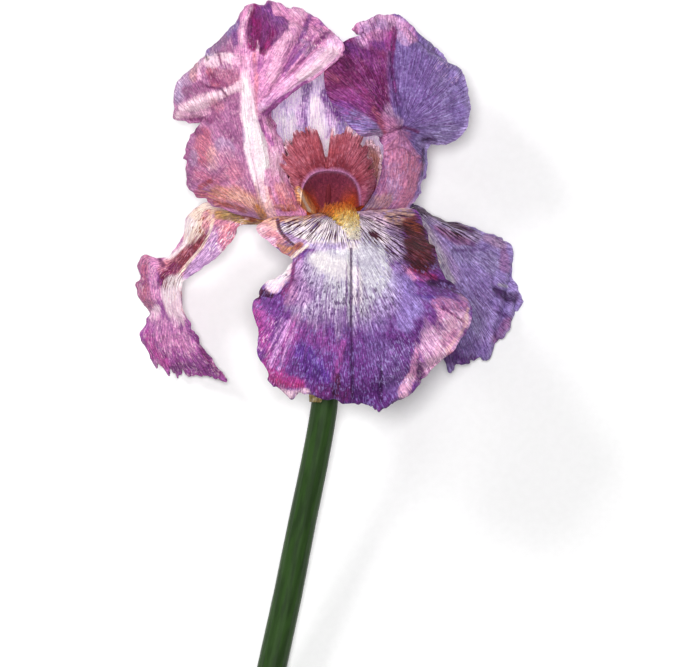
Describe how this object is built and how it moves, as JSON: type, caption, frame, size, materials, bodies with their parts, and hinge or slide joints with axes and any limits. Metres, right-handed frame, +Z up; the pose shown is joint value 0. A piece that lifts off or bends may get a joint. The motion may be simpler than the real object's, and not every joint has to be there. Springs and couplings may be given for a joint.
{
  "type": "bearded iris flower",
  "caption": "Cut bearded iris bloom lying on its back: arched upright petals, ruffled hanging petals with fuzzy beards, crested style arms and a slim green stem",
  "frame": {"origin": "below the middle of the flower's box, on the surface that it lies on", "axes": "+Z up, the face of the bloom looking up; +Y from the stem's cut end to the top of the bloom; +X to the bloom's right"},
  "size_m": [0.1462, 0.3026, 0.0907],
  "materials": {
    "stem": "satin",
    "bract": "matte",
    "ovary": "satin",
    "fall": "matte",
    "standard": "matte",
    "beard": "matte",
    "style": "matte",
    "stamen": "matte"
  },
  "bodies": {
    "root": {"stem": "stem", "bract_outer": "bract", "bract_inner": "bract", "ovary": "ovary", "fall_front": "fall", "fall_left": "fall", "fall_right": "fall", "standard_left": "standard", "standard_right": "standard", "standard_back": "standard", "beard_front": "beard", "beard_left": "beard", "beard_right": "beard", "style_front": "style", "style_left": "style", "style_right": "style", "stamen_front": "stamen", "stamen_left": "stamen", "stamen_right": "stamen"}
  },
  "joints": []
}
